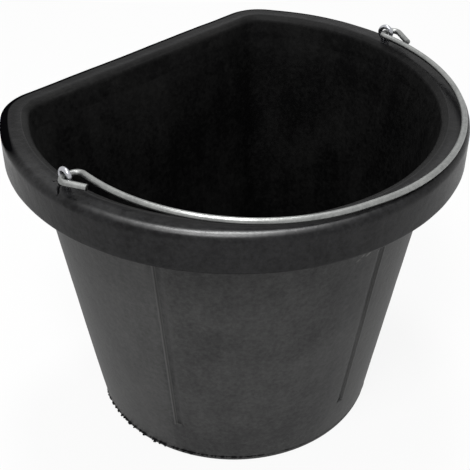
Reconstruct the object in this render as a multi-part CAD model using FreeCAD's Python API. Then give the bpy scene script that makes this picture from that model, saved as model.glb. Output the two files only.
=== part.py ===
import FreeCAD, Part
import math
import os

# Flat-backed rubber feed bucket with a wire bail, in millimetres.
# +Z is up. The Z axis is the centre of the round front, the flat back faces +Y,
# and the origin lies on the underside of the base.

# Rubber side wall. It leans out by the same amount all round.
BASE_RADIUS = 129.2          # round front, at the underside
BASE_FLAT = 70.0             # distance of the flat back, at the underside
BASE_CORNER = 46.0           # corners of the D, at the underside
MOUTH_RADIUS = 166.6         # round front, just under the rim
MOUTH_CORNER = 22.0          # corners of the D, just under the rim
WALL_THICKNESS = 5.0

# Rubber base, with the foot that shows below the moulding line.
FOOT_HEIGHT = 4.5
BASE_THICKNESS = 9.0
FOOT_ROUNDING = 1.5

# Shallow upright grooves in the round front, by their angle from straight ahead.
GROOVE_ANGLES = (-64.0, -0.3, 64.0)
GROOVE_WIDTH = 8.6
GROOVE_DEPTH = 1.6
GROOVE_FOOT = 42.5

# Solid rubber rim.
RIM_RADIUS = 190.0
RIM_FLAT = 131.0
RIM_CORNER = 42.5
RIM_UNDERSIDE = 257.7
RIM_TOP = 290.6
RIM_TOP_ROUNDING = 6.5
RIM_INNER_ROUNDING = 7.5
RIM_LOWER_ROUNDING = 2.0
RIM_WIDTH = 22.5             # from the outer face to the inner face, at the top
FLARE_START = 262.0          # the mouth opens a little more steeply above here
WALL_TOP = 270.0             # the wall's upper edge, buried in the rim

# Wire eyes. Their rings stand on the rim, and the bail turns in them. They are set by hand,
# so the right one stands a little further forward, and is turned a little.
EYE_WIRE = 4.0
EYE_HOLE = 6.8
LEFT_EYE = (-176.5, -10.9)
RIGHT_EYE = (174.3, -15.1)
EYE_Z = 299.5
RIGHT_EYE_TURN = 10.0        # degrees, seen from above
EYE_LEG_GAP = 0.1            # between the two legs where they enter the rubber
EYE_NECK_RADIUS = 3.0        # bend from each leg into the ring
EYE_TOE_RADIUS = 6.0         # bend from each leg into its toe
EYE_TOE_RUN = 18.0
EYE_TOE_Z = 273.0

# Wire bail, lying forward on the rim. It is bent by hand: two long arcs with a short
# straight between them, and a hook at each end.
BAIL_WIRE = 5.0
BAIL_LEFT = 165.0            # from the middle out to the left strand, at its hook
BAIL_RADIUS = 160.4
LEFT_ARC = 76.8              # degrees; the right arc makes up the half turn
FRONT_RUN = 12.8             # straight wire between the two arcs
LEFT_INNER_BEND = 7.0        # bends between each strand, the wire through the eye, and the leg
LEFT_OUTER_BEND = 4.5
RIGHT_INNER_BEND = 4.5
RIGHT_OUTER_BEND = 6.0
LEFT_CROSSING = 5.5          # straight wire through the eye
RIGHT_CROSSING = 4.9
LEFT_LEG = 16.5
RIGHT_LEG = 18.2
LEFT_TOE_IN = 29.0           # degrees that the leg is closed towards the strand
RIGHT_TOE_IN = 27.5
REST_GAP = 0.3               # between the resting bail and the rubber

LEAN = (MOUTH_RADIUS - BASE_RADIUS) / RIM_UNDERSIDE
UP = FreeCAD.Vector(0, 0, 1)


def point(x, y, z=0.0):
    return FreeCAD.Vector(x, y, z)


def d_outline(radius, flat, corner, z):
    """The D at height z: a round front about the Z axis, a flat back, and rounded corners."""
    corner_y = flat - corner
    corner_x = math.sqrt((radius - corner) ** 2 - corner_y ** 2)
    meet = math.atan2(corner_y, corner_x)
    middle = (meet + math.pi / 2) / 2
    right_round = point(radius * math.cos(meet), radius * math.sin(meet), z)
    right_flat = point(corner_x, flat, z)
    right_middle = point(corner_x + corner * math.cos(middle), corner_y + corner * math.sin(middle), z)
    left_round = point(-right_round.x, right_round.y, z)
    left_flat = point(-corner_x, flat, z)
    left_middle = point(-right_middle.x, right_middle.y, z)
    front = point(0, -radius, z)
    return Part.Wire([
        Part.Arc(left_round, front, right_round).toShape(),
        Part.Arc(right_round, right_middle, right_flat).toShape(),
        Part.LineSegment(right_flat, left_flat).toShape(),
        Part.Arc(left_flat, left_middle, left_round).toShape(),
    ])


def wall_outline(z, inset):
    """The wall's outer face at height z, moved inwards by inset."""
    corner = BASE_CORNER + (MOUTH_CORNER - BASE_CORNER) * z / RIM_UNDERSIDE
    return d_outline(BASE_RADIUS + LEAN * z - inset, BASE_FLAT + LEAN * z - inset, corner - inset, z)


def wall_block(high, inset=0.0):
    """A solid filling the leaning wall's outline, from the underside up to a height."""
    return Part.makeLoft([wall_outline(0.0, inset), wall_outline(high, inset)], True, True)


def hollow():
    """The space inside the bucket, open at the top."""
    mouth = d_outline(RIM_RADIUS - RIM_WIDTH, RIM_FLAT - RIM_WIDTH, RIM_CORNER - RIM_WIDTH, RIM_TOP)
    flare = Part.makeLoft([wall_outline(FLARE_START, WALL_THICKNESS), mouth], True, True)
    return wall_block(FLARE_START, WALL_THICKNESS).fuse(flare)


def between(shape, low, high):
    """The part of a shape between two heights."""
    slab = Part.makeBox(3 * RIM_RADIUS, 3 * RIM_RADIUS, high - low)
    slab.translate(point(-1.5 * RIM_RADIUS, -1.5 * RIM_RADIUS, low))
    return shape.common(slab)


def edges_at(shape, z, inside=None):
    """The edges that lie level at height z, and reach no further out in X than inside."""
    found = []
    for edge in shape.Edges:
        box = edge.BoundBox
        level = abs(box.ZMin - z) < 0.01 and abs(box.ZMax - z) < 0.01
        if level and (inside is None or max(abs(box.XMin), abs(box.XMax)) < inside):
            found.append(edge)
    return found


def groove(angle):
    """What one upright groove takes out of the wall: a strip as deep as the groove."""
    strip = Part.makeBox(GROOVE_WIDTH, MOUTH_RADIUS * 2, RIM_UNDERSIDE - GROOVE_FOOT)
    strip.translate(point(-GROOVE_WIDTH / 2, -MOUTH_RADIUS * 2, GROOVE_FOOT))
    strip.rotate(point(0, 0), UP, angle)
    return strip.cut(wall_block(WALL_TOP, GROOVE_DEPTH))


def bucket_wall():
    outside = between(wall_block(WALL_TOP), FOOT_HEIGHT, WALL_TOP)
    return outside.cut([groove(angle) for angle in GROOVE_ANGLES]).cut(hollow()).removeSplitter()


def bucket_base():
    foot = between(wall_block(WALL_TOP), 0.0, FOOT_HEIGHT)
    foot = foot.makeFillet(FOOT_ROUNDING, edges_at(foot, 0.0))
    plug = between(wall_block(FLARE_START, WALL_THICKNESS), FOOT_HEIGHT, BASE_THICKNESS)
    return foot.fuse(plug).removeSplitter()


def rim_bead():
    outline = Part.Face(d_outline(RIM_RADIUS, RIM_FLAT, RIM_CORNER, RIM_UNDERSIDE))
    rim = outline.extrude(UP * (RIM_TOP - RIM_UNDERSIDE))
    rim = rim.makeFillet(RIM_TOP_ROUNDING, edges_at(rim, RIM_TOP))
    rim = rim.makeFillet(RIM_LOWER_ROUNDING, edges_at(rim, RIM_UNDERSIDE))
    rim = rim.cut(hollow())
    rim = rim.makeFillet(RIM_INNER_ROUNDING, edges_at(rim, RIM_TOP, RIM_RADIUS - RIM_WIDTH + 1.0))
    return rim.cut(wall_block(WALL_TOP))


def bent_wire(start, heading, steps):
    """Edges of a wire bent up in the XY plane from start. A step is a straight run, or a bend given
    as (angle, radius), left for a positive angle."""
    edges = []
    here = start
    for step in steps:
        if isinstance(step, tuple):
            turn = math.radians(step[0])
            radius = math.copysign(step[1], turn)
            centre = here + point(-math.sin(heading), math.cos(heading)) * radius
            places = []
            for share in (0.5, 1.0):
                swung = heading + turn * share
                places.append(centre + point(math.sin(swung), -math.cos(swung)) * radius)
            edges.append(Part.Arc(here, places[0], places[1]).toShape())
            heading += turn
            here = places[1]
        else:
            there = here + point(math.cos(heading), math.sin(heading)) * step
            edges.append(Part.LineSegment(here, there).toShape())
            here = there
    return edges


def round_bar(path, diameter):
    """A round bar swept along a path of tangent runs and bends."""
    wire = Part.Wire(path)
    first = wire.OrderedEdges[0]
    start = first.valueAt(first.FirstParameter)
    along = first.tangentAt(first.FirstParameter)
    section = Part.Wire(Part.makeCircle(diameter / 2, start, along))
    return wire.makePipeShell([section], True, False)


def eye(place, turn):
    """A wire eye in its own upright plane: toe, leg, ring, leg and toe."""
    ring_radius = (EYE_HOLE + EYE_WIRE) / 2
    leg_y = (EYE_WIRE + EYE_LEG_GAP) / 2
    neck_y = leg_y + EYE_NECK_RADIUS
    neck_drop = math.sqrt((ring_radius + EYE_NECK_RADIUS) ** 2 - neck_y ** 2)
    neck_turn = math.degrees(math.acos(neck_y / (ring_radius + EYE_NECK_RADIUS)))
    leg_run = EYE_Z - neck_drop - EYE_TOE_Z - EYE_TOE_RADIUS
    start = point(-leg_y - EYE_TOE_RADIUS - EYE_TOE_RUN, EYE_TOE_Z - EYE_Z)
    steps = [EYE_TOE_RUN, (90, EYE_TOE_RADIUS), leg_run, (neck_turn, EYE_NECK_RADIUS),
             (-180 - 2 * neck_turn, ring_radius),
             (neck_turn, EYE_NECK_RADIUS), leg_run, (90, EYE_TOE_RADIUS), EYE_TOE_RUN]
    flat_eye = round_bar(bent_wire(start, 0.0, steps), EYE_WIRE)
    flat_eye.rotate(point(0, 0), point(1, 1, 1), 120)
    flat_eye.rotate(point(0, 0), UP, turn)
    flat_eye.translate(point(*place, EYE_Z))
    return flat_eye


def bail():
    """The bail is bent flat, from the left hook's tip to the right one's, and laid onto the rim."""
    setback = LEFT_INNER_BEND + FRONT_RUN * math.cos(math.radians(LEFT_ARC))
    toe = math.radians(LEFT_TOE_IN)
    bend_centre = point(-BAIL_LEFT - LEFT_INNER_BEND - LEFT_CROSSING, -LEFT_OUTER_BEND)
    leg_start = bend_centre - point(math.cos(toe), math.sin(toe)) * LEFT_OUTER_BEND
    tip = leg_start + point(math.sin(toe), -math.cos(toe)) * LEFT_LEG
    steps = [LEFT_LEG, (-90 - LEFT_TOE_IN, LEFT_OUTER_BEND), LEFT_CROSSING, (-90, LEFT_INNER_BEND),
             (LEFT_ARC, BAIL_RADIUS), FRONT_RUN, (180 - LEFT_ARC, BAIL_RADIUS),
             setback - RIGHT_INNER_BEND, (-90, RIGHT_INNER_BEND), RIGHT_CROSSING,
             (-90 - RIGHT_TOE_IN, RIGHT_OUTER_BEND), RIGHT_LEG]
    whole = round_bar(bent_wire(tip, math.pi / 2 + toe, steps), BAIL_WIRE)
    drop = EYE_Z - (RIM_TOP + REST_GAP + BAIL_WIRE / 2)
    whole.rotate(point(0, 0), point(1, 0), math.degrees(math.asin(drop / (BAIL_RADIUS + setback))))
    skew = (RIGHT_EYE[1] - LEFT_EYE[1]) / (RIGHT_EYE[0] - LEFT_EYE[0])
    whole.rotate(point(0, 0), UP, math.degrees(math.atan(skew)))
    whole.translate(point(0, LEFT_EYE[1] - LEFT_EYE[0] * skew, EYE_Z))
    return whole


os.makedirs("parts", exist_ok=True)
left_eye = eye(LEFT_EYE, 0.0)
right_eye = eye(RIGHT_EYE, RIGHT_EYE_TURN)
nodes = {
    "bucket_base": bucket_base(),
    "bucket_wall": bucket_wall(),
    "rim_bead": rim_bead().cut([left_eye, right_eye]),
    "left_eye": left_eye,
    "right_eye": right_eye,
    "bail": bail(),
}
for name, shape in nodes.items():
    box = shape.optimalBoundingBox()
    print(f"{name}: {len(shape.Solids)} solid, valid {shape.isValid()}, {shape.Volume / 1000:.1f} cm3,"
          f" {box.XLength:.1f} by {box.YLength:.1f} by {box.ZLength:.1f} mm")
    shape.exportStep(f"parts/{name}.step")
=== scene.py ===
import bmesh
import bpy
import math
from mathutils import Matrix, Vector, noise


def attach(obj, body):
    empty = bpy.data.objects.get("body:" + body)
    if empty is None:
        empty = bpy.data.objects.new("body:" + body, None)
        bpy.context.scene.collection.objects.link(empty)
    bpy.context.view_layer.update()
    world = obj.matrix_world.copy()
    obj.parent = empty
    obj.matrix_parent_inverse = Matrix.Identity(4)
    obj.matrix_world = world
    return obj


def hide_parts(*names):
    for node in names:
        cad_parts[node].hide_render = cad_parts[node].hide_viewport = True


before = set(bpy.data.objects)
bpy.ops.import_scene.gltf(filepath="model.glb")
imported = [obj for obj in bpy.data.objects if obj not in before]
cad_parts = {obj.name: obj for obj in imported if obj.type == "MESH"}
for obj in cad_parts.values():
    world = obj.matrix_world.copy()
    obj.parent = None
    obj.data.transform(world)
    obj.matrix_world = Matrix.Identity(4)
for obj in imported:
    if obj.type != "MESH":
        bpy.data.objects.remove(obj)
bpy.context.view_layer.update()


# ------------------------------------------------------------------ base
# The base is a D of thick rubber sheet, laid in the bottom of the mould under the wall.
# Its edge is the foot that the bucket stands on, and its upper side is the floor inside,
# with rubber pressed up into a small cove where floor and wall cured together.

MM = 0.001
BASE_RADIUS, BASE_FLAT, BASE_CORNER = 129.2 * MM, 70.0 * MM, 46.0 * MM
MOUTH_RADIUS, MOUTH_CORNER = 166.6 * MM, 22.0 * MM
RIM_UNDERSIDE = 257.7 * MM
WALL_THICKNESS = 5.0 * MM
FLOOR_HEIGHT = 9.0 * MM
FOOT_ROUNDING = 1.5 * MM
COVE = 3.2 * MM
LEAN = (MOUTH_RADIUS - BASE_RADIUS) / RIM_UNDERSIDE
CORNER_FROM, CORNER_TO = 102.0, 144.0    # degrees from straight ahead, round either side
CREASE_SHADE, DARKER_DULLER = -0.9, -0.8               # dust for painted shade in a crease, and for darker, duller rubber
BLOOM_FROM, BLOOM_TO = 0.75, 1.55        # noise and dust together, where bloom begins and is full
POWDER_FROM, POWDER_TO = 1.0, 2.2        # dust alone, where pale powder begins and is full


def wall_size(height, inset=0.0):
    """Round front, flat back and corner radius of the wall at a height, an inset in from its face."""
    corner = BASE_CORNER + (MOUTH_CORNER - BASE_CORNER) * height / RIM_UNDERSIDE
    return (BASE_RADIUS + LEAN * height - inset, BASE_FLAT + LEAN * height - inset, corner - inset)


def reach(azimuth, size):
    """Distance from the upright axis out to a D-shaped outline."""
    radius, flat, corner = size
    across, along = abs(math.cos(azimuth)), math.sin(azimuth)
    corner_y = flat - corner
    corner_x = math.sqrt((radius - corner) ** 2 - corner_y ** 2)
    if along * corner_x <= across * corner_y:
        return radius
    if across * flat <= along * corner_x:
        return flat / along
    toward = across * corner_x + along * corner_y
    return toward + math.sqrt(toward ** 2 - (radius - corner) ** 2 + corner ** 2)


def marks_round(front_step, corner_step, features=()):
    """Marks to draw the D by, from the middle of the flat back and round, as pairs of azimuth in
    degrees and distance aside of it.
    A feature is an azimuth, the distances aside that it needs, and the clear degrees around it."""
    marks = []
    azimuth = -270.0
    while azimuth < 89.99:
        if all(abs(azimuth - middle) > clear for middle, asides, clear in features):
            marks.append((azimuth, 0.0))
        in_corner = CORNER_FROM < abs(azimuth + 90.0) < CORNER_TO
        azimuth += corner_step if in_corner else front_step
    for middle, asides, clear in features:
        marks += [(middle, aside) for aside in asides]
    return sorted(marks, key=lambda mark: mark[0] + math.degrees(mark[1] / MOUTH_RADIUS))


def d_skin(marks, rows, closed_ring):
    """A rubber skin drawn one row at a time. A row is a D's size and its height. Dust is what the
    material adds to its own clouds of bloom, and it also carries painted light and shade: well
    below nothing it is darker rubber with no shine, which in creases, slits and under the rim is
    painted shade, and above 1 it is powder. Polish is what the material adds to its shine, and
    along the rim's crest it is a painted highlight."""
    bm = bmesh.new()
    dust_and_painted_light_of = bm.verts.layers.float.new("dust_and_painted_light")
    bm.verts.layers.float.new("polish_and_painted_highlight")
    azimuth_of = bm.verts.layers.float.new("azimuth")
    aside_of = bm.verts.layers.float.new("aside")
    row_of = bm.verts.layers.int.new("row")
    ring = bmesh.ops.create_circle(bm, segments=len(marks), radius=1.0)["verts"]
    for vert, (azimuth, aside) in zip(ring, marks):
        vert[azimuth_of], vert[aside_of] = azimuth, aside
    edges = list(bm.edges)
    for number, (size, height) in enumerate(rows + rows[:1] if closed_ring else rows):
        if number:
            grown = bmesh.ops.extrude_edge_only(bm, edges=edges)["geom"]
            ring = [part for part in grown if isinstance(part, bmesh.types.BMVert)]
            edges = [part for part in grown if isinstance(part, bmesh.types.BMEdge)]
        for vert in ring:
            azimuth = math.radians(vert[azimuth_of])
            distance = reach(azimuth, size)
            if vert[aside_of] and distance:
                azimuth += math.asin(vert[aside_of] / distance)
                distance = reach(azimuth, size)
            vert.co = (distance * math.cos(azimuth), distance * math.sin(azimuth), height)
            vert[row_of] = number % len(rows)
    bmesh.ops.remove_doubles(bm, verts=bm.verts, dist=1e-7)
    bmesh.ops.recalc_face_normals(bm, faces=bm.faces)
    return bm, dust_and_painted_light_of, azimuth_of, aside_of, row_of


def out_of_true(place):
    """How far the whole rubber body stands in from its true shape: slow waves, under 1 mm."""
    return (noise.noise(Vector((place.x * 8.0, place.y * 8.0, place.z * 5.0 + 3.0))) - 0.9) * 0.42 * MM


def sag_rubber(bm, azimuth_of):
    for vert in bm.verts:
        azimuth = math.radians(vert[azimuth_of])
        shift = out_of_true(vert.co) * min(1.0, Vector(vert.co.xy).length / (60.0 * MM))
        vert.co += Vector((math.cos(azimuth), math.sin(azimuth), 0.0)) * shift


def keep_piece(bm, name, body, nodes, materials):
    """Turns a finished shape into a smooth-shaded piece that rides on its body."""
    for name_of_layer in ("azimuth", "aside", "row"):
        for layers in (bm.verts.layers.float, bm.verts.layers.int):
            if name_of_layer in layers.keys():
                layers.remove(layers[name_of_layer])
    for face in bm.faces:
        face.smooth = True
    mesh = bpy.data.meshes.new(name)
    bm.to_mesh(mesh)
    bm.free()
    for material in materials:
        mesh.materials.append(material)
    piece = bpy.data.objects.new(name, mesh)
    bpy.context.scene.collection.objects.link(piece)
    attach(piece, body)
    if nodes:
        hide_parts(*nodes)
    return piece


def add_node(tree, kind, settings=None, **sockets):
    """Adds a shader node. A socket is given a value, or another node's output to link."""
    made = tree.nodes.new(kind)
    for key, value in (settings or {}).items():
        setattr(made, key, value)
    for key, value in sockets.items():
        socket = made.inputs[int(key[1:])] if key[0] == "_" else made.inputs[key.replace("_", " ")]
        if isinstance(value, bpy.types.NodeSocket):
            tree.links.new(value, socket)
        else:
            socket.default_value = value
    return made


def ramp(tree, factor, *stops):
    """A colour ramp. A stop is a position and a grey value or a colour."""
    made = add_node(tree, "ShaderNodeValToRGB", Fac=factor)
    bar = made.color_ramp.elements
    while len(bar) < len(stops):
        bar.new(1.0)
    for element, (position, colour) in zip(bar, stops):
        element.position = position
        element.color = (*colour, 1.0) if isinstance(colour, tuple) else (colour, colour, colour, 1.0)
    return made.outputs["Color"]


def rubber(name, skin, bloom, bloom_share, roughness, shine, grain):
    """Black moulded rubber: a dark skin, grey bloom in clouds, upright smears and specks, and fine
    grain. bloom_share and roughness run from the lowest to the highest mix of noise and the dust
    attribute, which also carries painted light and shade."""
    material = bpy.data.materials.new(name)
    material.use_nodes = True
    tree = material.node_tree
    shader = tree.nodes["Principled BSDF"]
    place = add_node(tree, "ShaderNodeTexCoord").outputs["Object"]
    dust_and_painted_light_attribute = add_node(tree, "ShaderNodeAttribute", {"attribute_name": "dust_and_painted_light"})
    clouds = add_node(tree, "ShaderNodeTexNoise", Vector=place, Scale=13.0, Detail=6.0, Roughness=0.62)
    upright = add_node(tree, "ShaderNodeMapping", Vector=place, Scale=(1.0, 1.0, 0.16))
    smears = add_node(tree, "ShaderNodeTexNoise", Vector=upright.outputs[0], Scale=75.0, Detail=5.0,
                      Roughness=0.6)
    speckle = add_node(tree, "ShaderNodeTexNoise", Vector=place, Scale=260.0, Detail=4.0, Roughness=0.72)
    mixed = add_node(tree, "ShaderNodeMath", {"operation": "ADD"}, _0=clouds.outputs[0],
                     _1=dust_and_painted_light_attribute.outputs["Fac"])
    for pattern, weight in ((smears, 0.4), (speckle, 0.9)):
        mixed = add_node(tree, "ShaderNodeMath", {"operation": "MULTIPLY_ADD"}, _0=pattern.outputs[0],
                         _1=weight, _2=mixed.outputs[0])
    dust_and_painted_light = add_node(tree, "ShaderNodeMapRange", Value=mixed.outputs[0], _1=BLOOM_FROM, _2=BLOOM_TO,
                    _3=bloom_share[0], _4=bloom_share[1])
    colour = add_node(tree, "ShaderNodeMix", {"data_type": "RGBA"}, _0=dust_and_painted_light.outputs[0], _6=(*skin, 1.0),
                      _7=(*bloom, 1.0))
    flecks = add_node(tree, "ShaderNodeTexVoronoi", Vector=place, Scale=55.0)
    fleck = ramp(tree, flecks.outputs["Distance"], (0.0, 1.0), (0.035, 1.0), (0.05, 0.0))
    chosen = ramp(tree, flecks.outputs["Color"], (0.0, 0.0), (0.9, 0.0), (0.93, 1.0))
    spot = add_node(tree, "ShaderNodeMath", {"operation": "MULTIPLY"}, _0=fleck, _1=chosen)
    spotted = add_node(tree, "ShaderNodeMix", {"data_type": "RGBA"}, _0=spot.outputs[0],
                       _6=colour.outputs[2], _7=(0.16, 0.155, 0.145, 1.0))
    powder = add_node(tree, "ShaderNodeMapRange", Value=dust_and_painted_light_attribute.outputs["Fac"], _1=POWDER_FROM,
                      _2=POWDER_TO, _3=0.0, _4=1.0)
    powdered = add_node(tree, "ShaderNodeMix", {"data_type": "RGBA"}, _0=powder.outputs[0],
                        _6=spotted.outputs[2], _7=(0.15, 0.148, 0.144, 1.0))
    tree.links.new(powdered.outputs[2], shader.inputs["Base Color"])
    dullness = add_node(tree, "ShaderNodeMapRange", Value=mixed.outputs[0], _1=BLOOM_FROM, _2=BLOOM_TO,
                        _3=roughness[0], _4=roughness[1])
    tree.links.new(dullness.outputs[0], shader.inputs["Roughness"])
    fine = add_node(tree, "ShaderNodeTexNoise", Vector=place, Scale=1300.0, Detail=3.0, Roughness=0.6)
    lumps = add_node(tree, "ShaderNodeTexNoise", Vector=place, Scale=150.0, Detail=4.0, Roughness=0.55)
    grained = add_node(tree, "ShaderNodeBump", Height=fine.outputs[0], Strength=grain,
                       Distance=0.25 * MM)
    lumped = add_node(tree, "ShaderNodeBump", Height=lumps.outputs[0], Strength=grain, Distance=0.9 * MM,
                      Normal=grained.outputs[0])
    tree.links.new(lumped.outputs[0], shader.inputs["Normal"])
    # Low values take the shine away: painted shade in creases, slits and under the rim, and darker, duller
    # rubber.
    dulled_shine = add_node(tree, "ShaderNodeMapRange", Value=dust_and_painted_light_attribute.outputs["Fac"], _1=CREASE_SHADE, _2=-0.2,
                       _3=0.0, _4=shine)
    # The polish attribute adds shine; along the rim's crest it is a painted highlight.
    polish_and_highlight = add_node(tree, "ShaderNodeAttribute", {"attribute_name": "polish_and_painted_highlight"})
    shiny = add_node(tree, "ShaderNodeMath", {"operation": "ADD"}, _0=dulled_shine.outputs[0],
                     _1=polish_and_highlight.outputs["Fac"])
    tree.links.new(shiny.outputs[0], shader.inputs["Specular IOR Level"])
    return material


rows = [(tuple(part * share for part in wall_size(0.0, FOOT_ROUNDING)), 0.0)
        for share in (0.0, 0.03, 0.1, 0.2, 0.3, 0.4, 0.5, 0.6, 0.7, 0.8, 0.88, 0.94, 0.98)]
for step in range(6):
    angle = math.radians(18.0 * step)
    rows.append((wall_size(0.0, FOOT_ROUNDING * (1.0 - math.sin(angle))),
                 FOOT_ROUNDING * (1.0 - math.cos(angle))))
rows += [(wall_size(height * MM, inset * MM), height * MM) for height, inset in
         ((2.4, 0.0), (3.3, 0.0), (4.1, 0.02), (4.38, 0.12), (4.5, 0.5), (4.5, 4.6), (8.0, 4.6),
          (12.2, 4.75))]
floor_row = len(rows)
for step in range(7):
    angle = math.radians(15.0 * step)
    rows.append((wall_size(FLOOR_HEIGHT, WALL_THICKNESS + COVE * (1.0 - math.cos(angle))),
                 FLOOR_HEIGHT + COVE * (1.0 - math.sin(angle))))
floor_edge = wall_size(FLOOR_HEIGHT, WALL_THICKNESS + COVE)
rows += [(tuple(part * share for part in floor_edge), FLOOR_HEIGHT)
         for share in (0.97, 0.93, 0.87, 0.8, 0.72, 0.64, 0.56, 0.48, 0.4, 0.32, 0.24, 0.16, 0.08,
                       0.03, 0.0)]
bm, dust_and_painted_light_of, azimuth_of, _, row_of = d_skin(marks_round(1.0, 0.5), rows, False)
sag_rubber(bm, azimuth_of)
for vert in bm.verts:
    if vert.co.z > FLOOR_HEIGHT - 0.1 * MM and vert[row_of] >= floor_row:
        vert.co.z += 0.35 * MM * noise.noise(vert.co * 30.0)
        # The floor inside is made darker and duller, as painted shade inside the bucket.
        vert[dust_and_painted_light_of] = DARKER_DULLER
base_rubber = rubber("base_rubber", skin=(0.0092, 0.0092, 0.0097), bloom=(0.075, 0.075, 0.074),
                     bloom_share=(0.0, 1.0), roughness=(0.48, 0.64), shine=0.18, grain=0.35)
keep_piece(bm, "base_sheet", "bucket", ["bucket_base"], [base_rubber])

# ------------------------------------------------------------------ moulding flash
# A thin ragged lip of rubber that squeezed out where the mould's base plate met its
# wall. It was left untrimmed, so it stands out in nubs and tears, worst on the left.

FLASH_HEIGHT = 4.6 * MM


def flash_reach(azimuth_degrees):
    """How far the lip stands out of the wall at an azimuth."""
    azimuth = math.radians(azimuth_degrees)
    place = Vector((math.cos(azimuth), math.sin(azimuth), 0.0))
    azimuth_window = 0.08 + 0.92 * math.exp(-((azimuth_degrees + 170.0) / 28.0) ** 2)
    ragged = noise.noise(place * 38.0) + 0.8 * noise.noise(place * 95.0 + Vector((3.0, 0.0, 0.0)))
    clumps = noise.noise(place * 9.0 + Vector((0.0, 5.0, 0.0)))
    nub = max(0.0, ragged + 0.35 * clumps + 0.25)
    return (0.05 + azimuth_window * (0.05 + 4.8 * min(nub, 0.6))) * MM


# Across the lip: the share of its reach, and the height above the moulding line in mm.
profile = [(-1.2, -0.3), (0.0, -0.28), (0.35, -0.26), (0.7, -0.2), (0.9, -0.1), (1.0, 0.05), (0.9, 0.2),
           (0.7, 0.28), (0.35, 0.32), (0.0, 0.34), (-1.2, 0.34)]
rows = [(wall_size(FLASH_HEIGHT), FLASH_HEIGHT + lift * MM) for share, lift in profile]
bm, dust_and_painted_light_of, azimuth_of, _, row_of = d_skin(marks_round(0.3, 0.2), rows, True)
for vert in bm.verts:
    share, lift = profile[vert[row_of]]
    azimuth = vert[azimuth_of]
    out = flash_reach(azimuth)
    push = share * out if share > 0.0 else share * MM
    direction = Vector((math.cos(math.radians(azimuth)), math.sin(math.radians(azimuth)), 0.0))
    curl = 0.9 * out * noise.noise(direction * 30.0 + Vector((0.0, 0.0, 4.0))) * max(share, 0.0)
    vert.co += direction * push + Vector((0.0, 0.0, curl + 1.3 * lift * out))
    # The lip is made darker and duller the further it stands out.
    vert[dust_and_painted_light_of] = DARKER_DULLER * min(1.0, out / (0.7 * MM))
sag_rubber(bm, azimuth_of)
keep_piece(bm, "moulding_flash", "bucket", [], [base_rubber])

# ------------------------------------------------------------------ wall
# The wall is one wrapped blank of rubber, cured in the mould, leaning out all round to the
# rim. The mould left three shallow upright grooves in its round front, each crisp along one
# edge. The outside is dusty with bloom. The inside is a much darker copy of the same rubber,
# with less bloom, as painted shade for the inside of the bucket.

GROOVE_AZIMUTHS = (-154.0, -90.3, -26.0)
GROOVE_HALF_WIDTH = 4.3 * MM
GROOVE_CRISP_FLANK, GROOVE_SOFT_FLANK = 0.8 * MM, 5.0 * MM
GROOVE_DEPTH = 1.6 * MM
GROOVE_FOOT = 42.5 * MM
INSIDE_SHADE = -0.12
FLARE_START = 262.0 * MM
WALL_TOP = 270.0 * MM
RIM_RADIUS, RIM_FLAT, RIM_CORNER = 190.0 * MM, 131.0 * MM, 42.5 * MM
RIM_TOP = 290.6 * MM
RIM_WIDTH = 22.5 * MM
TORN_FOOT = 6.4 * MM                     # torn crevices reach up to here
TORN_MIDDLE, TORN_SPREAD = -138.0, 20.0  # degrees
# Azimuth and height, from and to, of the flecks of powder caught under the rim.
FLECKS_FROM, FLECKS_TO = (-100.0, 226.0 * MM), (-91.0, 234.0 * MM)


def soft_step(value, low, high):
    share = min(1.0, max(0.0, (value - low) / (high - low)))
    return share * share * (3.0 - 2.0 * share)


def sharpen(edges, degrees):
    """Keeps edges crisp where the surface turns by more than an angle."""
    for edge in edges:
        turned = [face.normal for face in edge.link_faces]
        if len(turned) == 2 and turned[0].angle(turned[1], 0.0) > math.radians(degrees):
            edge.smooth = False


def flare_size(height):
    """The inner face above the wall, where the mouth opens a little more steeply."""
    share = (height - FLARE_START) / (RIM_TOP - FLARE_START)
    mouth = (RIM_RADIUS - RIM_WIDTH, RIM_FLAT - RIM_WIDTH, RIM_CORNER - RIM_WIDTH)
    start = wall_size(FLARE_START, WALL_THICKNESS)
    return tuple(low + (high - low) * share for low, high in zip(start, mouth))


groove_asides = [side * part * MM for side in (-1, 1)
                 for part in (0.9, 1.8, 2.5, 3.0, 3.3, 3.5, 3.65, 3.8, 3.95, 4.1, 4.3, 4.6, 5.0, 5.6,
                              6.4)] + [0.0]
wall_marks = marks_round(0.8, 0.5, [(azimuth, groove_asides, 3.4) for azimuth in GROOVE_AZIMUTHS])
outer = [(4.4, 3.0), (4.5, 0.6), (4.62, 0.18), (4.9, 0.05)]
outer += [(height, 0.0) for height in (5.3, 5.8, 6.4, 7.2, 9.0, 12.0, 16.0, 21.0, 26.0, 31.0, 35.0,
                                       38.0, 40.0, 41.2, 41.8, 42.2, 42.5, 42.8, 43.1, 43.5, 44.2,
                                       45.3, 47.0)]
outer += [(47.0 + 4.5 * step, 0.0) for step in range(1, 39)]
outer += [(218.0 + 1.5 * step, 0.0) for step in range(1, 11)]
outer += [(height, 0.0) for height in (237.0, 241.0, 245.0, 249.0, 252.5, 254.5, 255.8, 256.6,
                                       257.3, 258.5, 263.0)]
outer.append((268.5, 0.6))
rows = [(wall_size(height * MM, inset * MM), height * MM) for height, inset in outer]
outer_rows = len(rows)
rows.append((wall_size(WALL_TOP, 1.6 * MM), WALL_TOP))
rows += [(flare_size(height * MM), height * MM) for height in (270.0, 268.0, 266.0, 264.0)]
inner = [262.0 - 6.0 * step for step in range(41)] + [18.0, 14.5, 12.0, 10.0, 8.0]
rows += [(wall_size(height * MM, WALL_THICKNESS), height * MM) for height in inner]
rows.append((wall_size(5.0 * MM, WALL_THICKNESS - 0.3 * MM), 5.0 * MM))
bm, dust_and_painted_light_of, azimuth_of, aside_of, row_of = d_skin(wall_marks, rows, True)
left_groove, middle_groove = GROOVE_AZIMUTHS[:2]
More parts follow.
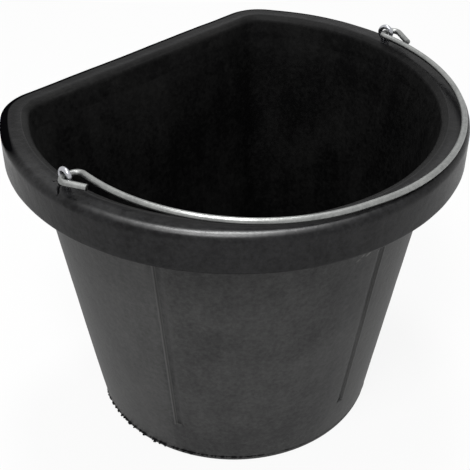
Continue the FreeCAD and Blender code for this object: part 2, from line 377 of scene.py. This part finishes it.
for vert in bm.verts:
    if vert[row_of] < outer_rows:
        azimuth = math.radians(vert[azimuth_of])
        direction = Vector((math.cos(azimuth), math.sin(azimuth), 0.0))
        # Just under the rim the wall is painted darker, with no shine, as the rim's shadow.
        under_rim = soft_step(vert.co.z, RIM_UNDERSIDE - 2.6 * MM, RIM_UNDERSIDE - 0.6 * MM)
        # The front is made a little darker towards the bottom, and the wall beyond the left groove and to
        # the right of the middle groove lighter.
        low = soft_step(vert.co.z, 130.0 * MM, 20.0 * MM)
        left_sector = soft_step(vert[azimuth_of], left_groove, left_groove - 1.5)
        right_sector = soft_step(vert[azimuth_of], middle_groove, middle_groove + 1.5)
        vert[dust_and_painted_light_of] = (-0.1 - 0.8 * under_rim - 0.08 * low
                         + (0.12 + 0.08 * low) * left_sector
                         + (0.14 + 0.03 * low) * right_sector)
        sunk = 0.0
        if min(abs(vert[azimuth_of] - groove) for groove in GROOVE_AZIMUTHS) < 0.001:
            outward = vert[aside_of] if vert[azimuth_of] > -120.0 else -vert[aside_of]
            crisp = soft_step(outward, GROOVE_HALF_WIDTH, GROOVE_HALF_WIDTH - GROOVE_CRISP_FLANK)
            soft = soft_step(-outward, GROOVE_HALF_WIDTH, GROOVE_HALF_WIDTH - GROOVE_SOFT_FLANK)
            above_foot = soft_step(vert.co.z, GROOVE_FOOT - 0.5 * MM, GROOVE_FOOT + 0.4 * MM)
            sunk = GROOVE_DEPTH * crisp * soft * above_foot
            # The far wall of each groove is painted lighter as the light falling on it, its floor a little
            # darker as painted shade, and the upward ledge at its foot lighter as painted light.
            lit_far_wall = soft_step(outward, 2.9 * MM, 3.4 * MM) * soft_step(outward, 5.4 * MM, 4.8 * MM)
            lit_foot_ledge = soft_step(abs(vert.co.z - GROOVE_FOOT), 0.9 * MM, 0.2 * MM)
            vert[dust_and_painted_light_of] += above_foot * (lit_far_wall - 0.03 * crisp * soft * (1.0 - lit_far_wall))
            vert[dust_and_painted_light_of] += 0.3 * crisp * lit_foot_ledge * soft
        if vert.co.z < TORN_FOOT + 0.1 * MM:
            window = math.exp(-((vert[azimuth_of] - TORN_MIDDLE) / TORN_SPREAD) ** 2)
            ragged = noise.noise(direction * 34.0) + 0.7 * noise.noise(direction * 80.0)
            crevice = window * soft_step(ragged, -0.05, 0.3)
            sunk += 0.8 * MM * crevice * soft_step(vert.co.z, TORN_FOOT, 5.2 * MM)
            # The crevices are painted darker, with less shine, as the shade in them.
            vert[dust_and_painted_light_of] -= 1.2 * crevice * soft_step(vert.co.z, TORN_FOOT, 5.4 * MM)
        if (FLECKS_FROM[0] < vert[azimuth_of] < FLECKS_TO[0]
                and FLECKS_FROM[1] < vert.co.z < FLECKS_TO[1]):
            vert[dust_and_painted_light_of] += 3.4 * soft_step(noise.noise(vert.co * 430.0), 0.12, 0.3)
        lumps = 0.1 * MM * noise.noise(vert.co * 55.0) - 0.05 * MM
        vert.co += direction * (lumps - sunk)
    else:
        streaks = noise.noise(Vector((vert.co.x * 22.0, vert.co.y * 22.0, vert.co.z * 3.0)))
        # Inside: painted shade as the base, with light upright scuffs higher up.
        vert[dust_and_painted_light_of] = INSIDE_SHADE + 0.4 * max(0.0, streaks) * soft_step(vert.co.z, 90.0 * MM, 230.0 * MM)
sag_rubber(bm, azimuth_of)
sharpen(bm.edges, 50.0)
for face in bm.faces:
    rows_used = [vert[row_of] for vert in face.verts]
    face.material_index = 1 if min(rows_used) > outer_rows else 0
outside_rubber = rubber("wall_rubber", skin=(0.0092, 0.0092, 0.0097), bloom=(0.081, 0.081, 0.080),
                        bloom_share=(0.0, 1.0), roughness=(0.46, 0.62), shine=0.18, grain=0.4)
# A much darker copy of the rubber, as painted shade for the inside of the bucket.
inside_rubber_painted_shade = rubber("inside_rubber_painted_shade", skin=(0.0016, 0.0016, 0.0017), bloom=(0.020, 0.020, 0.0195),
                       bloom_share=(-0.2, 0.8), roughness=(0.5, 0.68), shine=0.1, grain=0.35)
keep_piece(bm, "side_wall", "bucket", ["bucket_wall"], [outside_rubber, inside_rubber_painted_shade])

# ------------------------------------------------------------------ rim
# The rim is a thick band of solid rubber, cured onto the top of the wall. It is the
# smoothest and blackest rubber on the bucket, worn satin along its upper edges, with extra
# shine at the front of its outer top edge as a painted highlight, and torn in short slits,
# painted dark as shade, where the left wire eye comes up through it.

RIM_TOP_ROUNDING = 6.5 * MM
RIM_INNER_ROUNDING = 7.5 * MM
RIM_LOWER_ROUNDING = 2.0 * MM
FACE_RUN, FACE_RISE = 5.3, 28.6          # the lean of the rim's inner face
CREST_MIDDLE, CREST_SPREAD = -138.0, 24.0  # degrees, where the outer top edge gets extra shine as a painted highlight
BLEND_ROWS = 8
LEFT_EYE, RIGHT_EYE = (-176.5 * MM, -10.9 * MM), (174.3 * MM, -15.1 * MM)


def rim_size(inset):
    return (RIM_RADIUS - inset, RIM_FLAT - inset, RIM_CORNER - inset)


def between_sizes(first, second, share):
    return tuple(low + (high - low) * share for low, high in zip(first, second))


eye_asides = [0.65 * MM * step for step in range(-26, 27)]
rim_marks = marks_round(0.9, 0.5, [(math.degrees(math.atan2(across, along)), eye_asides, 6.6)
                                   for along, across in (LEFT_EYE, RIGHT_EYE)])
under_wall = wall_size(RIM_UNDERSIDE, 0.5 * MM)
rows = [(under_wall, RIM_UNDERSIDE + 0.8 * MM), (under_wall, RIM_UNDERSIDE + 0.2 * MM)]
rows += [(between_sizes(under_wall, rim_size(RIM_LOWER_ROUNDING), share), RIM_UNDERSIDE)
         for share in (0.06, 0.2, 0.4, 0.6, 0.8, 0.92)]
foot_rows = len(rows) + 8
for step in range(8):
    angle = math.radians(90.0 * step / 7)
    rows.append((rim_size(RIM_LOWER_ROUNDING * (1.0 - math.sin(angle))),
                 RIM_UNDERSIDE + RIM_LOWER_ROUNDING * (1.0 - math.cos(angle))))
side_bottom, side_top = RIM_UNDERSIDE + RIM_LOWER_ROUNDING, RIM_TOP - RIM_TOP_ROUNDING
rows += [(rim_size(0.0), side_bottom + (side_top - side_bottom) * step / 14) for step in range(1, 14)]
crest_rows = (len(rows), len(rows) + 14)
for step in range(13):
    angle = math.radians(90.0 * step / 12)
    rows.append((rim_size(RIM_TOP_ROUNDING * (1.0 - math.cos(angle))),
                 side_top + RIM_TOP_ROUNDING * math.sin(angle)))
face_lean = math.atan2(FACE_RUN, FACE_RISE)
top_inner = RIM_WIDTH - RIM_INNER_ROUNDING * math.tan((math.pi / 2 - face_lean) / 2)
rows += [(rim_size(RIM_TOP_ROUNDING + (top_inner - RIM_TOP_ROUNDING) * step / 16), RIM_TOP)
         for step in range(1, 16)]
inner_row = len(rows) + 1
for step in range(15):
    angle = (math.pi / 2 - face_lean) * step / 14
    height = RIM_TOP - RIM_INNER_ROUNDING * (1.0 - math.cos(angle))
    rounded = rim_size(top_inner + RIM_INNER_ROUNDING * math.sin(angle))
    rows.append((between_sizes(rounded, flare_size(height), (step / 14) ** 3), height))
face_top = rows[-1][1]
for step in range(1, 10):
    height = face_top + (WALL_TOP - face_top) * step / 9
    rows.append((flare_size(height), height))
ledge = WALL_TOP - 0.3 * MM
rows += [(between_sizes(flare_size(ledge), wall_size(ledge, 0.5 * MM), share), ledge)
         for share in (0.3, 0.6, 1.0)]
rows += [(wall_size(height * MM, 0.5 * MM), height * MM) for height in (266.0, 262.0)]
bm, dust_and_painted_light_of, azimuth_of, _, row_of = d_skin(rim_marks, rows, True)

# Each slit runs between two places measured in mm from the left eye's foot, and has a half
# width and a depth.
SLITS = (((0.4, 11.0), (-3.4, 13.4), 0.75, 1.5), ((-3.4, 4.4), (-11.4, -3.8), 0.7, 1.6),
         ((-0.8, 7.6), (-3.4, 3.8), 1.0, 1.5))


def torn_depth(x, y):
    """Depth of the slits at a place measured from the left eye's foot."""
    depth = 0.0
    for near, far, half_width, deep in SLITS:
        near, far = Vector(near) * MM, Vector(far) * MM
        toward = (far - near).normalized()
        along = (Vector((x, y)) - near).dot(toward)
        wander = 0.4 * MM * math.sin(along / (1.5 * MM) + near.x * 900.0)
        off = abs((Vector((x, y)) - near).dot(Vector((-toward.y, toward.x))) - wander)
        length = (far - near).length
        taper = soft_step(along, -0.6 * MM, 0.6 * MM) * soft_step(along, length, 0.55 * length)
        depth = max(depth, deep * MM * taper * soft_step(off, (half_width + 0.3) * MM, 0.2 * MM))
    return depth


for vert in bm.verts:
    azimuth = math.radians(vert[azimuth_of])
    if vert.co.z > WALL_TOP + 3.0 * MM or vert.co.xy.length > MOUTH_RADIUS + 8.0 * MM:
        waver = 0.3 * MM * (noise.noise(vert.co * 28.0) - 0.6) + 0.09 * MM * noise.noise(vert.co * 90.0)
        inward = vert.co.xy.length < RIM_RADIUS - 0.5 * RIM_WIDTH and vert.co.z < RIM_TOP - 2.0 * MM
        if vert.co.z > RIM_TOP - 2.5 * MM:
            vert.co.z += waver
        else:
            fade = soft_step(vert.co.z, WALL_TOP, WALL_TOP + 6.0 * MM) if inward else 1.0
            vert.co += Vector((math.cos(azimuth), math.sin(azimuth), 0.0)) * waver * fade
    if vert.co.z > RIM_TOP - 4.0 * MM:
        foot = RIGHT_EYE if vert.co.x > 0.0 else LEFT_EYE
        away = (vert.co.x - foot[0], vert.co.y - foot[1])
        if math.hypot(*away) < 16.0 * MM:
            pucker = 0.5 * MM * math.exp(-(math.hypot(*away) / (3.4 * MM)) ** 2)
            torn = torn_depth(*away) if foot == LEFT_EYE else 0.0
            vert.co.z -= max(pucker, torn)
            # The slits are painted dark, with no shine, as the shade inside them.
            vert[dust_and_painted_light_of] += CREASE_SHADE * min(1.0, torn / (0.7 * MM))
sag_rubber(bm, azimuth_of)
sharpen([edge for edge in bm.edges if edge.verts[0].co.z < WALL_TOP + MM], 60.0)
polish_and_highlight_of = bm.verts.layers.float["polish_and_painted_highlight"]
for vert in bm.verts:
    back = soft_step(vert.co.y, 20.0 * MM, 105.0 * MM)
    right = soft_step(vert.co.x, 40.0 * MM, 150.0 * MM) * soft_step(vert.co.y, 110.0 * MM, 20.0 * MM)
    # The rim's lower edge is painted dark, with no shine, as the shadow beneath it.
    if vert[row_of] < foot_rows:
        vert[dust_and_painted_light_of] = CREASE_SHADE * soft_step(vert.co.z, RIM_UNDERSIDE + 1.8 * MM, RIM_UNDERSIDE + 0.9 * MM)
    # Along the outer top edge, extra shine strongest at the front is a painted highlight; at the back the
    # shine is turned down, and the edge has a little less bloom.
    elif crest_rows[0] <= vert[row_of] <= crest_rows[1]:
        share = (vert[row_of] - crest_rows[0]) / (crest_rows[1] - crest_rows[0])
        azimuth_window = math.exp(-((vert[azimuth_of] - CREST_MIDDLE) / CREST_SPREAD) ** 2)
        vert[polish_and_highlight_of] = ((1.3 * azimuth_window - 0.06) * math.exp(-((share - 0.67) / 0.17) ** 2) * (1.0 - back)
                           - 0.2 * back * math.sin(math.pi * share))
        vert[dust_and_painted_light_of] -= 0.1 * math.sin(math.pi * share)
    # The rim's top is made darker towards the back and on the right.
    vert[dust_and_painted_light_of] -= (0.6 * back + 0.4 * right) * soft_step(vert.co.z, 275.0 * MM, 283.0 * MM)
    # Towards the inside the rim blends into the darker inside rubber, painted shade.
    if vert[row_of] > inner_row:
        vert[dust_and_painted_light_of] = INSIDE_SHADE
    elif vert[row_of] > inner_row - BLEND_ROWS:
        vert[dust_and_painted_light_of] += (-0.4 - vert[dust_and_painted_light_of]) * (vert[row_of] - inner_row + BLEND_ROWS) / BLEND_ROWS
for face in bm.faces:
    face.material_index = 1 if min(vert[row_of] for vert in face.verts) > inner_row else 0
rim_rubber = rubber("rim_rubber", skin=(0.002, 0.002, 0.0023), bloom=(0.028, 0.028, 0.029),
                    bloom_share=(-0.25, 1.0), roughness=(0.3, 0.5), shine=0.14, grain=0.3)
keep_piece(bm, "rim_band", "bucket", ["rim_bead"], [rim_rubber, inside_rubber_painted_shade])

# ------------------------------------------------------------------ eyes
# Each eye is a short length of 4 mm galvanised wire bent into a ring with two legs. The
# legs were laid in the rim before it was cured, so only the ring and its neck show.

EYE_WIRE = 4.0 * MM
EYE_HOLE = 6.8 * MM
EYE_Z = 299.5 * MM
EYE_LEG_GAP = 0.1 * MM
EYE_NECK_RADIUS = 3.0 * MM
EYE_TOE_RADIUS = 6.0 * MM
EYE_TOE_RUN = 18.0 * MM
EYE_TOE_HEIGHT = 273.0 * MM
RIGHT_EYE_TURN = 10.0


def bend_wire(gauge, start, heading, steps):
    """Bends a round wire in the level plane, as on a bench. A step is a straight run in metres,
    or a bend as (degrees, radius). Both ends are cut, with a slight burred edge."""
    bm = bmesh.new()
    turn_up = Matrix.Rotation(math.pi / 2, 4, "X")
    facing = Matrix.Rotation(heading + math.pi / 2, 4, "Z")
    bmesh.ops.create_circle(bm, segments=28, radius=gauge / 2,
                            matrix=Matrix.Translation(start) @ facing @ turn_up)
    first = list(bm.edges)
    edges = list(bm.edges)
    here = Vector(start)
    for step in steps:
        along = Vector((math.cos(heading), math.sin(heading), 0.0))
        if isinstance(step, tuple):
            turn = math.radians(step[0])
            centre = here + Vector((-along.y, along.x, 0.0)) * math.copysign(step[1], turn)
            by_turn, by_length = abs(turn) / math.radians(6.0), abs(turn) * step[1] / (3.5 * MM)
            spun = bmesh.ops.spin(bm, geom=edges, cent=centre, axis=(0.0, 0.0, 1.0), angle=turn,
                                  steps=max(4, math.ceil(max(by_turn, by_length))))
            edges = [part for part in spun["geom_last"] if isinstance(part, bmesh.types.BMEdge)]
            here = centre + Matrix.Rotation(turn, 3, "Z") @ (here - centre)
            heading += turn
        else:
            pieces = max(1, math.ceil(step / (3.0 * MM)))
            for piece in range(pieces):
                grown = bmesh.ops.extrude_edge_only(bm, edges=edges)["geom"]
                edges = [part for part in grown if isinstance(part, bmesh.types.BMEdge)]
                moved = [part for part in grown if isinstance(part, bmesh.types.BMVert)]
                bmesh.ops.translate(bm, vec=along * step / pieces, verts=moved)
            here += along * step
    for cut in (first, edges):
        cap = bmesh.ops.contextual_create(bm, geom=cut)["faces"]
        bmesh.ops.inset_region(bm, faces=cap, thickness=0.12 * gauge, depth=0.06 * gauge,
                               use_even_offset=True)
        cap[0].normal_update()
    bmesh.ops.recalc_face_normals(bm, faces=bm.faces)
    sharpen(bm.edges, 40.0)
    return bm


def galvanised(name, dark, bright, roughness):
    """Zinc-coated wire: pale grey crystals, duller streaks, and small dull runs of zinc."""
    material = bpy.data.materials.new(name)
    material.use_nodes = True
    tree = material.node_tree
    shader = tree.nodes["Principled BSDF"]
    place = add_node(tree, "ShaderNodeTexCoord").outputs["Object"]
    crystals = add_node(tree, "ShaderNodeTexVoronoi", Vector=place, Scale=700.0, Randomness=1.0)
    patches = add_node(tree, "ShaderNodeTexNoise", Vector=place, Scale=40.0, Detail=6.0, Roughness=0.6)
    scratches = add_node(tree, "ShaderNodeTexNoise", Vector=place, Scale=900.0, Detail=3.0,
                         Roughness=0.7)
    flake = add_node(tree, "ShaderNodeSeparateColor", Color=crystals.outputs["Color"])
    blend = add_node(tree, "ShaderNodeMath", {"operation": "MULTIPLY_ADD"}, _0=flake.outputs[0], _1=0.2,
                     _2=patches.outputs[0])
    colour = ramp(tree, blend.outputs[0], (0.35, dark), (0.8, bright))
    tree.links.new(colour, shader.inputs["Base Color"])
    shader.inputs["Metallic"].default_value = 1.0
    dull = add_node(tree, "ShaderNodeMapRange", Value=blend.outputs[0], _1=0.3, _2=0.95, _3=roughness[1],
                    _4=roughness[0])
    tree.links.new(dull.outputs[0], shader.inputs["Roughness"])
    bump = add_node(tree, "ShaderNodeBump", Height=scratches.outputs[0], Strength=0.08,
                    Distance=0.12 * MM)
    tree.links.new(bump.outputs[0], shader.inputs["Normal"])
    return material


eye_zinc = galvanised("eye_wire", dark=(0.30, 0.305, 0.325), bright=(0.50, 0.505, 0.535),
                      roughness=(0.2, 0.32))
ring_radius = (EYE_HOLE + EYE_WIRE) / 2
leg_y = (EYE_WIRE + EYE_LEG_GAP) / 2
neck_y = leg_y + EYE_NECK_RADIUS
neck_drop = math.sqrt((ring_radius + EYE_NECK_RADIUS) ** 2 - neck_y ** 2)
neck_turn = math.degrees(math.acos(neck_y / (ring_radius + EYE_NECK_RADIUS)))
leg_run = EYE_Z - neck_drop - EYE_TOE_HEIGHT - EYE_TOE_RADIUS
for name, place, turn in (("left_eye", LEFT_EYE, 0.0), ("right_eye", RIGHT_EYE, RIGHT_EYE_TURN)):
    start = Vector((-leg_y - EYE_TOE_RADIUS - EYE_TOE_RUN, EYE_TOE_HEIGHT - EYE_Z, 0.0))
    bm = bend_wire(EYE_WIRE, start, 0.0,
                   [EYE_TOE_RUN, (90, EYE_TOE_RADIUS), leg_run, (neck_turn, EYE_NECK_RADIUS),
                    (-180 - 2 * neck_turn, ring_radius),
                    (neck_turn, EYE_NECK_RADIUS), leg_run, (90, EYE_TOE_RADIUS), EYE_TOE_RUN])
    upright = Matrix.Rotation(math.radians(120.0), 4, Vector((1.0, 1.0, 1.0)))
    turned = Matrix.Rotation(math.radians(turn), 4, "Z")
    bmesh.ops.transform(bm, matrix=Matrix.Translation((*place, EYE_Z)) @ turned @ upright,
                        verts=bm.verts)
    keep_piece(bm, name + "_wire", "bucket", [name], [eye_zinc])

# ------------------------------------------------------------------ bail
# The bail is one length of 5 mm galvanised wire, bent by hand into two long arcs with a
# short straight between them, and back on itself in a hook at each end. The hooks were
# closed through the eyes, so it swings freely and lies on the rim when let go.

BAIL_WIRE = 5.0 * MM
BAIL_LEFT = 165.0 * MM
BAIL_RADIUS = 160.4 * MM
LEFT_ARC = 76.8
FRONT_RUN = 12.8 * MM
LEFT_INNER_BEND, LEFT_OUTER_BEND = 7.0 * MM, 4.5 * MM
RIGHT_INNER_BEND, RIGHT_OUTER_BEND = 4.5 * MM, 6.0 * MM
LEFT_CROSSING, RIGHT_CROSSING = 5.5 * MM, 4.9 * MM
LEFT_LEG, RIGHT_LEG = 16.5 * MM, 18.2 * MM
LEFT_TOE_IN, RIGHT_TOE_IN = 29.0, 27.5
REST_GAP = 0.3 * MM

setback = LEFT_INNER_BEND + FRONT_RUN * math.cos(math.radians(LEFT_ARC))
toe = math.radians(LEFT_TOE_IN)
bend_centre = Vector((-BAIL_LEFT - LEFT_INNER_BEND - LEFT_CROSSING, -LEFT_OUTER_BEND, 0.0))
leg_start = bend_centre - LEFT_OUTER_BEND * Vector((math.cos(toe), math.sin(toe), 0.0))
tip = leg_start + LEFT_LEG * Vector((math.sin(toe), -math.cos(toe), 0.0))
bm = bend_wire(BAIL_WIRE, tip, math.pi / 2 + toe,
               [LEFT_LEG, (-90 - LEFT_TOE_IN, LEFT_OUTER_BEND), LEFT_CROSSING, (-90, LEFT_INNER_BEND),
                (LEFT_ARC, BAIL_RADIUS), FRONT_RUN, (180 - LEFT_ARC, BAIL_RADIUS),
                setback - RIGHT_INNER_BEND, (-90, RIGHT_INNER_BEND), RIGHT_CROSSING,
                (-90 - RIGHT_TOE_IN, RIGHT_OUTER_BEND), RIGHT_LEG])
drop = EYE_Z - (RIM_TOP + REST_GAP + BAIL_WIRE / 2)
hinge_slope = (RIGHT_EYE[1] - LEFT_EYE[1]) / (RIGHT_EYE[0] - LEFT_EYE[0])
laid = (Matrix.Translation((0.0, LEFT_EYE[1] - LEFT_EYE[0] * hinge_slope, EYE_Z))
        @ Matrix.Rotation(math.atan(hinge_slope), 4, "Z")
        @ Matrix.Rotation(math.asin(drop / (BAIL_RADIUS + setback)), 4, "X"))
bmesh.ops.transform(bm, matrix=laid, verts=bm.verts)
bail_zinc = galvanised("bail_wire", dark=(0.18, 0.185, 0.182), bright=(0.31, 0.316, 0.308),
                       roughness=(0.32, 0.42))
keep_piece(bm, "bail_wire", "bail", ["bail"], [bail_zinc])

# ------------------------------------------------------------------ floor, light and camera
# A plain white studio sweep, a soft key lamp high on the left, a second lamp overhead and a
# little behind, and an even white surround.

FLOOR_GLOW = 0.9                         # the share of plain white in what is seen of the floor


def seen_itself(tree):
    """1 for a ray that shows this, directly, in a reflection or through glass; 0 for its light."""
    ray = add_node(tree, "ShaderNodeLightPath").outputs
    seen = ray["Is Camera Ray"]
    for way in ("Is Glossy Ray", "Is Transmission Ray"):
        seen = add_node(tree, "ShaderNodeMath", {"operation": "MAXIMUM"}, _0=seen, _1=ray[way]).outputs[0]
    return seen


floor_mesh = bmesh.new()
bmesh.ops.create_grid(floor_mesh, x_segments=1, y_segments=1, size=6.0)
floor_data = bpy.data.meshes.new("studio_floor")
floor_mesh.to_mesh(floor_data)
floor_mesh.free()
floor = bpy.data.objects.new("studio_floor", floor_data)
bpy.context.scene.collection.objects.link(floor)
floor_paint = bpy.data.materials.new("studio_floor")
floor_paint.use_nodes = True
tree = floor_paint.node_tree
paint = tree.nodes["Principled BSDF"]
paint.inputs["Base Color"].default_value = (0.86, 0.86, 0.86, 1.0)
paint.inputs["Roughness"].default_value = 0.9
paint.inputs["Specular IOR Level"].default_value = 0.2
glow = add_node(tree, "ShaderNodeEmission", Color=(1.0, 1.0, 1.0, 1.0), Strength=1.0)
share = add_node(tree, "ShaderNodeMath", {"operation": "MULTIPLY"}, _0=seen_itself(tree), _1=FLOOR_GLOW)
shown = add_node(tree, "ShaderNodeMixShader", _0=share.outputs[0], _1=paint.outputs[0],
                 _2=glow.outputs[0])
tree.links.new(shown.outputs[0], tree.nodes["Material Output"].inputs["Surface"])
floor_data.materials.append(floor_paint)

world = bpy.data.worlds.new("studio")
bpy.context.scene.world = world
world.use_nodes = True
tree = world.node_tree
direct = tree.nodes["Background"]
direct.inputs["Color"].default_value = (1.0, 1.0, 1.0, 1.0)
direct.inputs["Strength"].default_value = 0.35
white = add_node(tree, "ShaderNodeBackground", Color=(1.0, 1.0, 1.0, 1.0), Strength=1.0)
mixed = add_node(tree, "ShaderNodeMixShader", _0=seen_itself(tree), _1=direct.outputs[0],
                 _2=white.outputs[0])
tree.links.new(mixed.outputs[0], tree.nodes["World Output"].inputs["Surface"])


def soft_lamp(name, place, aim, width, power):
    lamp = bpy.data.lights.new(name, "AREA")
    lamp.shape = "DISK"
    lamp.size = width
    lamp.energy = power
    stand = bpy.data.objects.new(name, lamp)
    stand.location = place
    stand.rotation_euler = (Vector(aim) - Vector(place)).to_track_quat("-Z", "Y").to_euler()
    bpy.context.scene.collection.objects.link(stand)


soft_lamp("key_lamp", (-0.87, -0.6, 2.02), (0.0, 0.0, 0.2), 0.55, 25.0)
soft_lamp("overhead_lamp", (0.26, 0.3, 2.3), (0.0, 0.0, 0.2), 0.5, 21.0)

camera = bpy.data.cameras.new("camera")
camera.sensor_width = 36.0
camera.lens = 74.61
tripod = bpy.data.objects.new("camera", camera)
tripod.matrix_world = (Matrix.Translation((-0.49187, -0.50786, 0.67115))
                       @ Matrix.Rotation(math.radians(-44.12), 4, "Z")
                       @ Matrix.Rotation(math.radians(90.0 - 36.225), 4, "X")
                       @ Matrix.Rotation(math.radians(0.255), 4, "Z"))
bpy.context.scene.collection.objects.link(tripod)
bpy.context.scene.camera = tripod
bpy.context.scene.view_settings.view_transform = "Standard"
